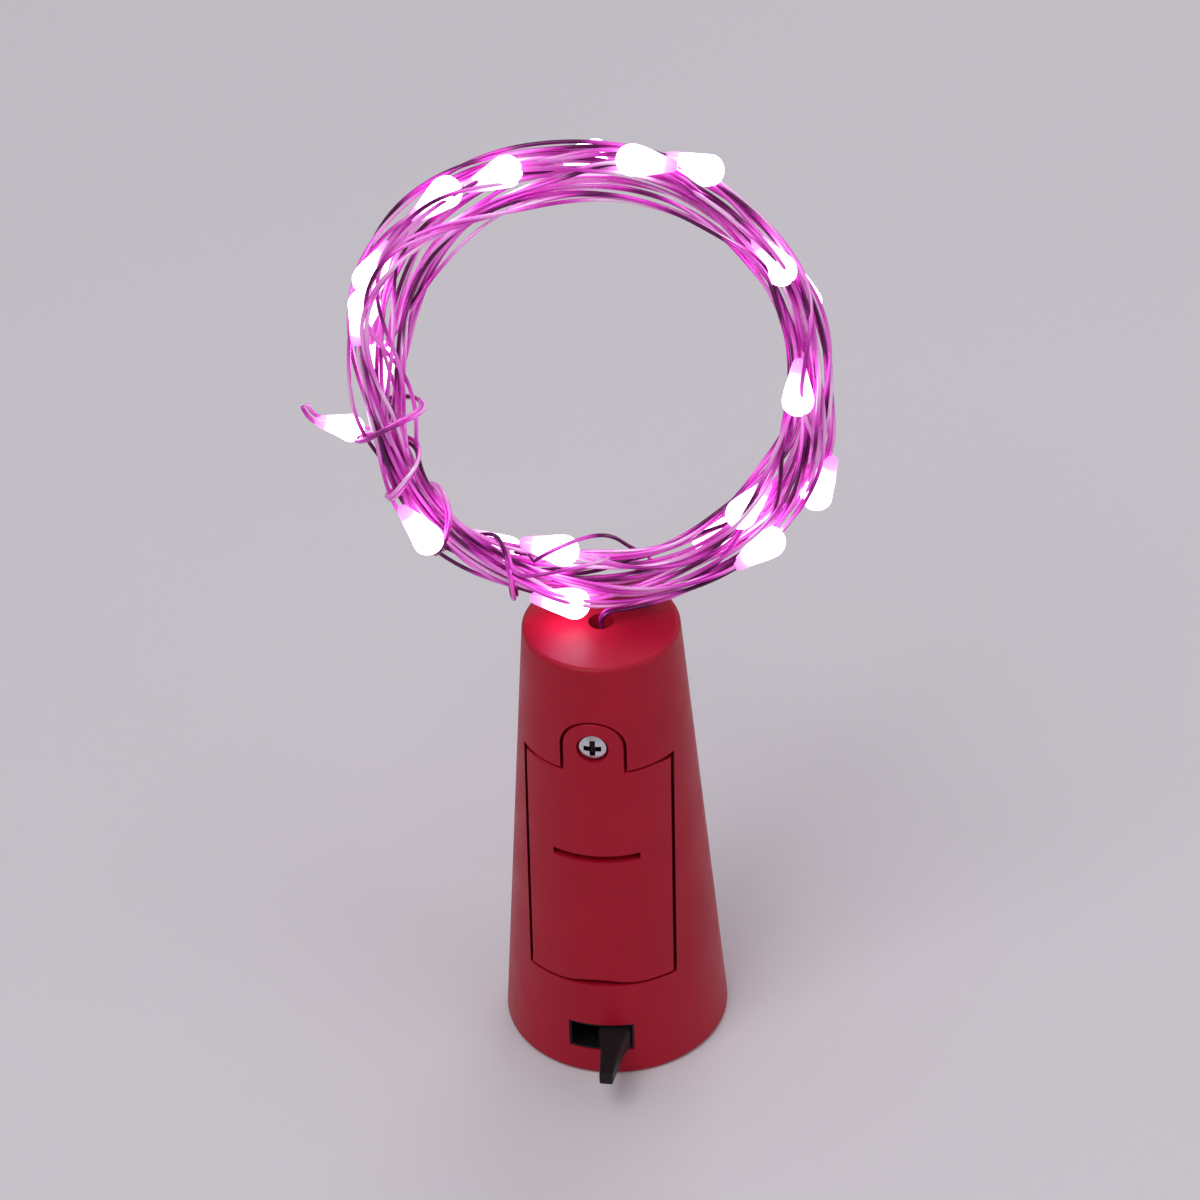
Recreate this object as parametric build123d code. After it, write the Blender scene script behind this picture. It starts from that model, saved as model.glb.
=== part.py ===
"""Cork bottle light: a tapered stopper with button cells inside and a wound string of lights on top.

Millimetres. The origin is the centre of the big end, which stands on the table. +Z points up
through the wire hole, and the battery door faces -Y.
"""
import os
from math import atan2, cos, degrees, hypot, pi, radians, sin, sqrt, tan

import numpy as np
from build123d import *

# Tapered shell
cork_height = 48.0
big_end_diameter = 22.0
small_end_diameter = 15.0
shell_wall = 2.0
top_wall = 2.0
edge_round = 0.5
wire_hole_diameter = 2.4

# Cap that closes the big end
cap_thickness = 1.6
cap_ledge = 0.5
cap_clearance = 0.05

# Battery door
door_width = 13.8
door_bottom = 11.2
door_shoulder = 36.0
tab_width = 5.8
tab_top = 41.8
door_thickness = 1.2
door_side_depth = 1.15
door_gap = 0.3
door_seat_clearance = 0.2
door_swing_clearance = 0.06
door_edge_round = 0.22
ledge_width = 0.8
grip_slot_width = 8.4
grip_slot_height = 0.8
grip_slot_level = 26.15
grip_slot_floor = 0.3
nose_radius = 0.75
tongue_width = 5.0
tongue_thickness = 0.9
tongue_reach = 1.5
tongue_clearance = 0.15

# Captive screw in the door's tab
screw_level = 39.0
screw_head_diameter = 2.6
screw_head_height = 0.7
screw_head_recess = 0.1
screw_head_dome = 0.25
screw_counterbore = 3.1
screw_thread_diameter = 1.5
screw_length = 4.0
screw_tip_length = 0.8
screw_running_clearance = 0.05
screw_swing_clearance = 0.4
cross_width = 0.55
cross_length = 1.7
cross_depth = 0.5
clip_diameter = 2.3
clip_thickness = 0.25

# Button cells and the tray that holds them
cell_diameter = 11.6
cell_height = 5.4
cell_count = 3
cell_cap_diameter = 9.6
cell_gasket_width = 0.5
cell_crimp_height = 0.4
cell_cap_height = 1.4
cell_clearance = 0.2
cell_fit = 0.03
bay_floor = 12.9
spring_room = 1.7
plate_thickness = 0.3
tray_floor = 2.0
tray_clearance = 0.1
tongue_swing_clearance = 0.25

# Contacts
contact_width = 4.0
contact_tab_width = 1.6
contact_tab_reach = 1.9
leaf_thickness = 0.25
leaf_half_length = 3.0

# Slide switch
window_width = 6.4
window_height = 3.1
window_bottom = 3.0
bezel_wall = 0.2
bezel_fit = 0.03
bezel_recess = 0.1
lever_width = 3.1
lever_reach = 5.8
lever_step = 1.5
lever_step_width = 2.2
lever_tip_width = 1.3
slide_clearance = 0.1
shield_overlap = 0.5
shield_thickness = 0.45
pocket_wall = 0.7
switch_width = 8.6
switch_height = 3.8
switch_depth = 2.8
switch_sheet = 0.3
switch_base_depth = 0.8
stem_width = 1.6
stem_height = 1.2
carrier_width = 3.6
carrier_depth = 0.6
terminal_pitch = 2.5
terminal_width = 0.7
terminal_thickness = 0.4
terminal_reach = 1.7
support_rib = 1.0

# Resistor and leads inside the tray
pocket_width = 6.4
resistor_diameter = 1.6
resistor_length = 3.6
resistor_lead_diameter = 0.45
resistor_back = 3.0
resistor_lead_length = 1.2
lead_diameter = 0.6
lead_offset = 1.0
lead_bend = 1.5
lead_bend_share = 0.45
groove_clearance = 0.15
lead_back_wall = 0.3
lead_shell_clearance = 0.05

# Bead of glue under the wire hole
bead_diameter = 4.0
bead_height = 2.4
bead_fit = 0.03
bead_clearance = 0.2

# String of lights
wire_diameter = 0.8
stem_bend = 2.4
coil_facing = 9.7
coil_lean = 15.0
coil_outer_radius = 22.5
coil_pitch = 1.3
coil_layers = 4
half_turns_per_layer = 7
half_turns_in_last_layer = 6
coil_start_angle = -82.5
coil_rise = 1.2
wrap_radius = 4.2
wrap_first_angle = 259.0
wrap_last_angle = 197.0
wrap_first_side = 180.0
wrap_last_side = 1350.0
tail_reach = 5.4
tail_straight = 3.5
tail_direction = (0.8, -0.6, 0.2)

# Fold where the string turns back: angle round the ring in degrees, distance from the ring's
# centre and distance in front of the middle of the bundle in millimetres
fold_places = [(286.0, 20.8, -3.0), (288.0, 18.2, -3.1), (282.5, 16.5, -2.0), (269.0, 16.2, 0.2)]

# Resin drops on the string
drop_radius = 1.3
drop_tip_radius = 0.55
drop_length = 5.2
chip_size = (0.35, 0.7, 0.9)
chip_clearance = 0.05

# Each drop's place: angle round the ring in degrees, distance from the ring's centre and
# distance in front of the middle of the bundle in millimetres, and which way its tip points
drop_places = [
    (36, 20.1, 2.7, 1), (65, 22.6, 0.8, 1), (76, 22.0, 2.8, -1), (113.5, 22.2, 2.7, 1),
    (128, 23.2, 2.4, 1), (147.5, 23.3, 2.0, -1), (161, 23.0, 2.5, 1), (217, 21.8, 2.9, -1),
    (252, 17.2, 1.2, -1), (258, 21.7, 2.8, -1), (309, 22.5, 2.4, -1), (319, 18.4, 2.7, 1),
    (332, 23.5, 1.0, 1), (357.5, 18.5, 2.6, 1), (20, 20.2, -2.7, 1), (92, 20.4, -2.7, 1),
    (179, 20.2, -2.7, 1), (239, 20.4, -2.7, -1), (303, 20.2, -2.7, 1),
]


# Shared shapes

def cork_radius(level):
    """Outer radius of the stopper at a height."""
    taper = (big_end_diameter - small_end_diameter) / 2 / cork_height
    return big_end_diameter / 2 - taper * level


def tapered_plug(inset, low, high):
    """Solid frustum that runs a fixed depth under the stopper's outer surface."""
    lower = cork_radius(low) - inset
    upper = cork_radius(high) - inset
    return Pos(0, 0, low) * Cone(lower, upper, high - low, align=(Align.CENTER, Align.CENTER, Align.MIN))


def tapered_shell(outer_inset, inner_inset, low, high):
    """Thin frustum between two depths under the outer surface."""
    return tapered_plug(outer_inset, low, high) - tapered_plug(inner_inset, low, high)


def block(x_span, y_span, z_span):
    """Box given by its limits along each axis."""
    size = [high - low for low, high in (x_span, y_span, z_span)]
    middle = [(high + low) / 2 for low, high in (x_span, y_span, z_span)]
    return Pos(*middle) * Box(*size)


def frontal_prism(outline, back):
    """Outline in X and Z, pushed forward from a plane behind the front surface."""
    return extrude(Plane.XZ.offset(back) * outline, amount=big_end_diameter)


def rod(plane, radius, start, length):
    """Cylinder along a plane's normal, from a distance along it."""
    seat = plane * Pos(0, 0, start)
    return seat * Cylinder(radius, length, align=(Align.CENTER, Align.CENTER, Align.MIN))


def tube(path, radius):
    """Round tube swept along a wire."""
    start = Plane(origin=path @ 0, z_dir=path % 0)
    return sweep(start * Circle(radius), path=path)


def routed_lead(points):
    """Insulated wire through a list of points, each bend as large as its two runs allow."""
    corners = [Vector(*point) for point in points]
    bends = []
    for before, corner, after in zip(corners, corners[1:], corners[2:]):
        entry = corner - before
        leave = after - corner
        half_turn = radians(entry.get_angle(leave)) / 2
        room = lead_bend_share * min(entry.length, leave.length) / tan(half_turn)
        bends.append(min(room, lead_bend))
    return tube(FilletPolyline(*corners, radius=bends), lead_diameter / 2)


def strip(points, thickness, width):
    """Bent metal strip: a line of (y, z) points, thick to its left, spread along X."""
    left = []
    for index, point in enumerate(points):
        before = points[max(index - 1, 0)]
        after = points[min(index + 1, len(points) - 1)]
        entry = np.subtract(point, before)
        leave = np.subtract(after, point)
        entry = leave if index == 0 else entry
        leave = entry if index == len(points) - 1 else leave
        normals = [np.array((-step[1], step[0])) / hypot(*step) for step in (entry, leave)]
        mitre = (normals[0] + normals[1]) / (1 + normals[0] @ normals[1])
        left.append(tuple(np.add(point, thickness * mitre)))
    outline = make_face(Polyline(*points, *reversed(left), close=True))
    return Pos(-width / 2, 0, 0) * extrude(Plane.YZ * outline, amount=width)


# Levels and places that several pieces share

inner_top = cork_height - top_wall
door_depth = door_thickness + door_seat_clearance
door_back = sqrt(cork_radius(door_shoulder) ** 2 - (door_width / 2) ** 2) - door_side_depth
pivot_y = -(cork_radius(door_bottom) - nose_radius)
pivot_z = door_bottom + nose_radius

screw_tilt = atan2((big_end_diameter - small_end_diameter) / 2, cork_height)
screw_plane = Plane(
    origin=(0, -cork_radius(screw_level), screw_level),
    x_dir=(1, 0, 0),
    z_dir=(0, -cos(screw_tilt), sin(screw_tilt)),
)

cells_bottom = bay_floor + spring_room
cells_top = cells_bottom + cell_count * cell_height
bay_top = cells_top + plate_thickness
pocket_floor = bay_top + tray_floor
resistor_level = pocket_floor + contact_tab_reach / 2
bead_bottom = inner_top - bead_height

window_middle = window_bottom + window_height / 2
bezel_margin = bezel_fit + bezel_wall
slide_travel = window_width - 2 * bezel_margin - lever_width - 2 * slide_clearance
lever_middle = slide_travel / 2
shield_half_width = (window_width + slide_travel) / 2 + slide_clearance
switch_pocket_half = shield_half_width + slide_travel / 2 + slide_clearance
switch_pocket_y = -sqrt((cork_radius(window_middle) - pocket_wall) ** 2 - switch_pocket_half ** 2)
shield_y = switch_pocket_y + slide_clearance
switch_front_y = shield_y + shield_thickness + slide_clearance
switch_back_y = switch_front_y + switch_depth
terminal_end_y = switch_back_y + terminal_reach

lead_corner_level = pocket_floor + lead_bend
lead_back_radius = cork_radius(lead_corner_level) - shell_wall - lead_shell_clearance - lead_diameter / 2
return_lead_y = sqrt(lead_back_radius ** 2 - lead_offset ** 2)
bay_back_y = return_lead_y - lead_diameter / 2 - groove_clearance - lead_back_wall
bay_shift = cell_diameter / 2 + cell_clearance - bay_back_y


# Shell, cap and door

def door_outline(margin):
    """Door and its round-topped tab, grown by a margin."""
    width = door_width + 2 * margin
    low = door_bottom - margin
    panel = Pos(0, (low + door_shoulder + margin) / 2) * Rectangle(width, door_shoulder + margin - low)
    tab_centre = tab_top - tab_width / 2
    tab_low = (door_bottom + door_shoulder) / 2
    tab = Pos(0, (tab_low + tab_centre) / 2) * Rectangle(tab_width + 2 * margin, tab_centre - tab_low)
    return panel + tab + Pos(0, tab_centre) * Circle(tab_width / 2 + margin)


def window_plug(margin):
    """Block that fills the switch window, less a margin all round, from the pocket outwards."""
    half = window_width / 2 - margin
    levels = (window_bottom + margin, window_bottom + window_height - margin)
    return block((-half, half), (-big_end_diameter, switch_pocket_y), levels)


def make_cork_body():
    """Tapered cup, open at the big end, with its door recess, switch window and wire hole."""
    lower = big_end_diameter / 2
    upper = small_end_diameter / 2
    profile = make_face(Polyline((0, 0), (lower, 0), (upper, cork_height), (0, cork_height), close=True))
    corners = profile.vertices().filter_by(lambda corner: corner.X > upper / 2)
    profile = fillet(corners, edge_round)
    body = revolve(Plane.XZ * profile, Axis.Z)
    body -= tapered_plug(shell_wall, 0, inner_top)
    cap_seat = cork_radius(0) - shell_wall + cap_ledge
    body -= rod(Plane.XY, cap_seat, 0, cap_thickness)
    body -= rod(Plane.XY.offset(inner_top), wire_hole_diameter / 2, 0, top_wall)

    recess = tapered_shell(-shell_wall, door_depth, door_bottom - shell_wall, tab_top + shell_wall)
    body -= recess & frontal_prism(door_outline(door_gap), door_back - door_seat_clearance)
    opening_half = door_width / 2 - ledge_width
    opening_levels = (door_bottom - door_gap, door_shoulder - ledge_width)
    body -= block((-opening_half, opening_half), (-big_end_diameter, 0), opening_levels)
    clip_hole = clip_diameter / 2 + screw_swing_clearance
    body -= rod(screw_plane, clip_hole, -2 * shell_wall, 2 * shell_wall)

    body -= window_plug(0)
    pocket_top = window_bottom + window_height + shield_overlap + slide_clearance
    pocket_sides = (-switch_pocket_half, switch_pocket_half)
    body -= block(pocket_sides, (switch_pocket_y, 0), (cap_thickness, pocket_top))
    return body


def make_end_cap():
    """Disc in the big end, with the step and ribs that hold the switch."""
    cap = rod(Plane.XY, cork_radius(0) - shell_wall + cap_ledge - cap_clearance, 0, cap_thickness)
    half = switch_width / 2
    seat = window_middle - switch_height / 2
    cap += block((-half, half), (switch_front_y, switch_back_y), (cap_thickness, seat))
    for side in (-1, 1):
        edges = sorted((side * half, side * (half - support_rib)))
        cap += block(edges, (switch_back_y, switch_back_y + support_rib), (cap_thickness, window_middle))
    return cap


def make_battery_door():
    """Curved cover with a rounded lower edge and a tongue that hooks behind the shell."""
    skin = tapered_shell(0, door_thickness, door_bottom - shell_wall, tab_top + shell_wall)
    door = skin & frontal_prism(door_outline(0), door_back)
    outer_edges = door.faces().filter_by(GeomType.CONE).sort_by(Axis.Y)[0].edges()
    door = fillet(outer_edges.filter_by(lambda edge: edge.center().Z > pivot_z), door_edge_round)

    swing = door_shoulder - pivot_z + door_gap - door_swing_clearance
    arc = Pos(0, pivot_y, pivot_z) * rod(Plane.YZ.offset(-door_width), swing, 0, 2 * door_width)
    for side in (-1, 1):
        corner = block(sorted((side * tab_width / 2, side * door_width)), (-big_end_diameter, 0),
                       (pivot_z, cork_height))
        door -= corner - arc

    slot = Pos(0, grip_slot_level) * Rectangle(grip_slot_width, grip_slot_height)
    groove = tapered_shell(-shell_wall, door_thickness - grip_slot_floor, door_bottom, tab_top)
    door -= groove & frontal_prism(slot, 0)

    nose = rod(Plane.YZ.offset(-door_width), nose_radius, 0, 2 * door_width)
    corner = block((-door_width, door_width), (-big_end_diameter, pivot_y), (0, pivot_z))
    door -= corner - Pos(0, pivot_y, pivot_z) * nose

    outer = shell_wall + tongue_clearance
    inner = outer + tongue_thickness
    low = door_bottom - tongue_reach
    high = door_bottom + tongue_thickness
    half = tongue_width / 2
    leg = tapered_shell(outer, inner, low, high)
    bridge = tapered_shell(door_thickness / 2, inner, door_bottom, high)
    front = block((-half, half), (-big_end_diameter, 0), (low, high))
    nose_room = block((-half, half), (-big_end_diameter, pivot_y), (low, high))
    door += (leg + bridge) & (front - nose_room)

    door -= rod(screw_plane, screw_counterbore / 2, -screw_head_height - screw_head_recess, shell_wall)
    door -= rod(screw_plane, screw_thread_diameter / 2 + screw_running_clearance, -shell_wall, shell_wall)
    door -= rod(screw_plane, screw_counterbore / 2, -2 * shell_wall, 2 * shell_wall - door_thickness)
    return door


def make_door_screw():
    """Domed cross-recess screw, sunk a little under the door's surface."""
    head_radius = screw_head_diameter / 2
    underside = -screw_head_recess - screw_head_height + screw_running_clearance
    top = -screw_head_recess
    rim = top - screw_head_dome
    core = screw_thread_diameter / 2
    tip = underside - screw_length
    outline = Polyline((0, tip), (core, tip + screw_tip_length), (core, underside),
                       (head_radius, underside), (head_radius, rim))
    dome = TangentArc((0, top), (head_radius, rim), tangent=(1, 0))
    profile = make_face([*outline.edges(), dome, Line((0, top), (0, tip))])
    screw = revolve(Plane.XZ * profile, Axis.Z)
    for turn in (0, 90):
        arm = Rot(0, 0, turn) * Box(cross_length, cross_width, 2 * cross_depth)
        screw -= Pos(0, 0, top) * arm
    return screw_plane * screw


def make_screw_clip():
    """Ring on the screw behind the door, which keeps the screw in it."""
    top = -door_thickness - screw_running_clearance
    ring = rod(screw_plane, clip_diameter / 2, top - clip_thickness, clip_thickness)
    return ring - rod(screw_plane, screw_thread_diameter / 2, top - clip_thickness, clip_thickness)


# Cells, tray and contacts

def cell_axis(level):
    """Plane across the cells' common axis."""
    return Plane(origin=(0, -bay_shift, level))


def make_cell(index):
    """One button cell as its can, gasket and cap."""
    base = cells_bottom + index * cell_height
    cap_radius = cell_cap_diameter / 2
    gasket_radius = cap_radius + cell_gasket_width
    can_low = base + cell_crimp_height
    can = rod(cell_axis(can_low), cell_diameter / 2, 0, cell_height - cell_crimp_height)
    can -= rod(cell_axis(base), gasket_radius + cell_fit, 0, cell_cap_height)
    gasket = rod(cell_axis(can_low), gasket_radius, 0, cell_cap_height - cell_crimp_height)
    gasket -= rod(cell_axis(base), cap_radius + cell_fit, 0, cell_cap_height)
    cap = rod(cell_axis(base), cap_radius, 0, cell_cap_height)
    return can, gasket, cap


def make_battery_tray():
    """Insert with the cells' bay, the screw's block and the pocket for the resistor."""
    inset = shell_wall + tray_clearance
    floor_bottom = bay_floor - tray_floor
    tray = tapered_plug(inset, floor_bottom, inner_top - tray_clearance)
    swing = hypot(shell_wall + tongue_clearance + tongue_thickness - nose_radius, tongue_reach + nose_radius)
    flat_front = pivot_y + swing + tongue_swing_clearance
    tray -= block((-big_end_diameter, big_end_diameter), (-big_end_diameter, flat_front), (0, cork_height))

    bay_radius = cell_diameter / 2 + cell_clearance
    bay_height = bay_top - bay_floor
    tray -= rod(cell_axis(bay_floor), bay_radius, 0, bay_height)
    tray -= block((-bay_radius, bay_radius), (-big_end_diameter, -bay_shift), (bay_floor, bay_top))

    hole = screw_thread_diameter / 2 + screw_swing_clearance
    tray -= rod(screw_plane, hole, -door_thickness - screw_length, door_thickness + screw_length)
    half = pocket_width / 2
    pocket_front = -bead_diameter / 2 - bead_clearance
    tray -= block((-half, half), (pocket_front, big_end_diameter), (pocket_floor, cork_height))
    groove_half = lead_diameter / 2 + groove_clearance
    groove_inner = return_lead_y - groove_half
    tray -= block((-lead_offset - groove_half, -lead_offset + groove_half),
                  (groove_inner, big_end_diameter), (0, pocket_floor))
    for spans in (positive_tab_spans(groove_clearance), negative_tab_spans(groove_clearance)):
        tray -= block(*spans)
    return tray


def positive_tab_spans(margin):
    """Limits of the upper contact's solder tab."""
    inner = -resistor_length / 2 - cell_clearance
    outer = inner - contact_tab_width
    front = resistor_back + resistor_lead_diameter / 2 + cell_fit
    return ((outer - margin, inner + margin), (front - margin, front + plate_thickness + margin),
            (bay_top, pocket_floor + contact_tab_reach))


def negative_tab_spans(margin):
    """Limits of the lower contact's solder tab."""
    half = contact_tab_width / 2 + margin
    back = leaf_half_length - bay_shift
    floor_bottom = bay_floor - tray_floor
    return ((-half, half), (back - leaf_thickness - margin, back + margin),
            (floor_bottom - contact_tab_reach, bay_floor))


def make_contact_positive():
    """Plate against the top cell, with a tab up into the pocket."""
    half = contact_width / 2
    tab = positive_tab_spans(0)
    plate = block((min(-half, tab[0][0]), half), (-half - bay_shift, tab[1][1]), (cells_top, bay_top))
    return plate + block(*tab)


def make_contact_negative():
    """Folded leaf spring under the bottom cell, with a tab down through the tray's floor."""
    back = leaf_half_length - bay_shift
    front = -leaf_half_length - bay_shift
    fold = bay_floor + 2 * leaf_thickness
    leaf = strip([(back, bay_floor), (front, bay_floor), (front, fold), (-bay_shift, cells_bottom),
                  (-bay_shift + leaf_half_length / 2, cells_bottom)], -leaf_thickness, contact_width)
    return leaf + block(*negative_tab_spans(0))


# Slide switch

def make_switch_bezel():
    """Black sleeve that lines the window, a little below the outer surface."""
    sleeve = window_plug(bezel_fit) - window_plug(bezel_margin)
    return sleeve & tapered_plug(bezel_recess, 0, cork_height)


def make_switch_frame():
    """Folded steel can with a slot for the slider's neck."""
    half = switch_width / 2
    high = switch_height / 2
    levels = (window_middle - high, window_middle + high)
    frame = block((-half, half), (switch_front_y, switch_back_y), levels)
    inside = switch_sheet
    frame -= block((-half + inside, half - inside), (switch_front_y + inside, switch_back_y),
                   (window_middle - high + inside, window_middle + high - inside))
    slot_half = (stem_width + slide_travel) / 2 + slide_clearance
    slot_high = stem_height / 2 + slide_clearance
    frame -= block((-slot_half, slot_half), (switch_front_y, switch_front_y + inside),
                   (window_middle - slot_high, window_middle + slot_high))
    return frame


def terminal_spans(index):
    """Limits of one of the three pins."""
    x = (index - 1) * terminal_pitch
    half = terminal_width / 2
    thick = terminal_thickness / 2
    return ((x - half, x + half), (switch_back_y - switch_base_depth, terminal_end_y),
            (window_middle - thick, window_middle + thick))


def make_switch_base():
    """Insulating plate in the back of the can, with a hole for each pin."""
    half = switch_width / 2 - switch_sheet
    high = switch_height / 2 - switch_sheet
    base = block((-half, half), (switch_back_y - switch_base_depth, switch_back_y),
                 (window_middle - high, window_middle + high))
    for index in range(3):
        base -= block(*terminal_spans(index))
    return base


def make_switch_terminals():
    """The three pins, as separate solids."""
    return Compound(children=[block(*terminal_spans(index)) for index in range(3)])


def lever_section(y, width):
    """Cross-section of the lever at a distance in front of the switch."""
    height = min(width, window_height - 2 * bezel_margin - 2 * slide_clearance)
    plane = Plane(origin=(lever_middle, y, window_middle), x_dir=(1, 0, 0), z_dir=(0, -1, 0))
    return plane * RectangleRounded(width, height, height / 6)


def make_switch_slider():
    """Lever, dust shield and carrier in one black moulding, at its right-hand stop."""
    surface = -cork_radius(window_middle)
    tip = surface - lever_reach
    step = surface - lever_step
    base = lever_section(surface, lever_width)
    neck = lever_section(step, lever_step_width)
    end = lever_section(tip, lever_tip_width)
    slider = loft([base, neck], ruled=True) + loft([neck, end], ruled=True)
    slider += extrude(lever_section(shield_y, lever_width), amount=shield_y - surface)
    shield_low = window_bottom - shield_overlap
    shield_high = window_bottom + window_height + shield_overlap
    slider += block((lever_middle - shield_half_width, lever_middle + shield_half_width),
                    (shield_y, shield_y + shield_thickness), (shield_low, shield_high))
    inside = switch_front_y + switch_sheet + slide_clearance
    stem_half = stem_width / 2
    slider += block((lever_middle - stem_half, lever_middle + stem_half), (shield_y, inside),
                    (window_middle - stem_height / 2, window_middle + stem_height / 2))
    carrier_half = carrier_width / 2
    carrier_high = switch_height / 2 - switch_sheet - slide_clearance
    slider += block((lever_middle - carrier_half, lever_middle + carrier_half),
                    (inside, inside + carrier_depth),
                    (window_middle - carrier_high, window_middle + carrier_high))
    return slider


def make_switch_contact():
    """Bridge on the slider that joins two of the pins."""
    front = switch_front_y + switch_sheet + slide_clearance + carrier_depth
    back = switch_back_y - switch_base_depth - slide_clearance
    half = carrier_width / 2
    high = stem_height / 2
    return block((lever_middle - half, lever_middle + half), (front, back),
                 (window_middle - high, window_middle + high))


# Resistor, leads and glue

resistor_plane = Plane(origin=(0, resistor_back, resistor_level), z_dir=(1, 0, 0))


def make_resistor_body():
    """Small round resistor lying across the tray's pocket."""
    return rod(resistor_plane, resistor_diameter / 2, -resistor_length / 2, resistor_length)


def make_resistor_leads():
    """Wire ends of the resistor, one on each side of it."""
    radius = resistor_lead_diameter / 2
    half = resistor_length / 2
    left = rod(resistor_plane, radius, -half - resistor_lead_length, resistor_lead_length)
    right = rod(resistor_plane, radius, half, resistor_lead_length)
    return Compound(children=[left, right])


def make_lead_positive():
    """From the bead down to the resistor's free end."""
    x = (resistor_length + resistor_lead_length) / 2
    end = resistor_level + resistor_lead_diameter / 2 + cell_fit
    middle = (bead_bottom + end) / 2
    return routed_lead([(lead_offset, 0, bead_bottom), (lead_offset, 0, middle + lead_diameter / 2),
                        (x, resistor_back, middle - lead_diameter / 2), (x, resistor_back, end)])


def make_lead_return():
    """From the bead, down the back of the tray, to the switch."""
    end_x = -terminal_pitch
    return routed_lead([(-lead_offset, 0, bead_bottom), (-lead_offset, 0, bead_bottom - 2 * lead_bend),
                        (-lead_offset, return_lead_y, lead_corner_level),
                        (-lead_offset, return_lead_y, window_middle + 2 * lead_bend),
                        (end_x, 0, window_middle), (end_x, terminal_end_y, window_middle)])


def make_lead_switch():
    """From the switch's middle pin to the lower contact's tab."""
    tab = negative_tab_spans(0)
    y = (tab[1][0] + tab[1][1]) / 2
    return routed_lead([(0, terminal_end_y, window_middle), (0, y, window_middle), (0, y, tab[2][0])])


def make_wire_anchor():
    """Bead of glue under the wire hole, which holds the string."""
    bead = rod(Plane.XY, bead_diameter / 2, bead_bottom, bead_height)
    return bead - rod(Plane.XY, wire_diameter / 2 + bead_fit, bead_bottom, bead_height)


# String of lights

facing = radians(coil_facing)
lean = radians(coil_lean)
ring_right = np.array((cos(facing), sin(facing), 0))
ring_up = np.array((-sin(facing) * sin(lean), cos(facing) * sin(lean), cos(lean)))
ring_front = np.cross(ring_right, ring_up)
layer_front = coil_pitch * (coil_layers - 1) / 2
coil_inner_radius = coil_outer_radius - coil_pitch * half_turns_per_layer / 2
bundle_radius = (coil_outer_radius + coil_inner_radius) / 2


def ring_directions(angle):
    """Outward and forward directions at an angle round the ring."""
    outward = cos(angle) * ring_right + sin(angle) * ring_up
    forward = -sin(angle) * ring_right + cos(angle) * ring_up
    return outward, forward


def unit(vector):
    """Vector of length one."""
    return vector / np.linalg.norm(vector)


def coil_knots():
    """Place and direction of the wire at each half turn, from the coil's own centre."""
    angle = radians(coil_start_angle)
    radius = coil_outer_radius
    inward = -1
    knots = []
    for layer in range(coil_layers):
        front = layer_front - layer * coil_pitch
        last_layer = layer == coil_layers - 1
        steps = half_turns_in_last_layer if last_layer else half_turns_per_layer
        for step in range(steps + 1):
            outward, forward = ring_directions(angle)
            place = radius * outward + front * ring_front
            knots.append((place, unit(radius * forward + inward * coil_pitch / (2 * pi) * outward)))
            angle += pi
            if step < steps:
                radius += inward * coil_pitch / 2
        inward = -inward
    return knots


def stem_turn(direction):
    """Rise and sideways run of the bend from straight up into a direction."""
    sideways = np.array((direction[0], direction[1], 0))
    turn = atan2(np.linalg.norm(sideways), direction[2])
    return stem_bend * (sin(turn) * np.array((0, 0, 1)) + (1 - cos(turn)) * unit(sideways))


first_place, first_direction = coil_knots()[0]
stem_run = stem_turn(first_direction) + 2 * wire_diameter * first_direction
coil_bottom = cork_height + coil_rise + wire_diameter / 2
ring_level = coil_bottom + coil_outer_radius * cos(lean) - layer_front * sin(lean)
ring_centre = np.array((stem_run[0] - first_place[0], stem_run[1] - first_place[1], ring_level))


def biarc(start, start_direction, end, end_direction):
    """Two arcs that leave and arrive along given directions."""
    gap = end - start
    both = start_direction + end_direction
    spread = 2 * (1 - start_direction @ end_direction)
    along = gap @ both
    reach = (-along + sqrt(along ** 2 + spread * (gap @ gap))) / spread
    first_corner = start + reach * start_direction
    second_corner = end - reach * end_direction
    middle = (first_corner + second_corner) / 2
    heading = unit(second_corner - first_corner)
    return [TangentArc(tuple(start), tuple(middle), tangent=tuple(start_direction)),
            TangentArc(tuple(middle), tuple(end), tangent=tuple(heading))]


def biarc_run(knots):
    """Arcs through a list of places and directions."""
    arcs = []
    for (start, leave), (end, arrive) in zip(knots, knots[1:]):
        arcs.extend(biarc(start, leave, end, arrive))
    return arcs


def straight(start, end):
    """Straight run between two places."""
    return Line(tuple(start), tuple(end))


def coil_path():
    """Whole winding, with a short straight run at each end."""
    knots = [(ring_centre + place, direction) for place, direction in coil_knots()]
    start, leave = knots[0]
    end, arrive = knots[-1]
    runs = [straight(start - wire_diameter * leave, start)]
    runs.extend(biarc_run(knots))
    runs.append(straight(end, end + wire_diameter * arrive))
    return Wire([run.edge() for run in runs])


def stem_path():
    """From the bead, up through the hole and over into the winding."""
    joint = ring_centre + first_place - wire_diameter * first_direction
    bend_end = joint - wire_diameter * first_direction
    bend_start = bend_end - stem_turn(first_direction)
    foot = np.array((bend_start[0], bend_start[1], bead_bottom))
    runs = [straight(foot, bend_start),
            TangentArc(tuple(bend_start), tuple(bend_end), tangent=(0, 0, 1)),
            straight(bend_end, joint)]
    return Wire([run.edge() for run in runs])


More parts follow.
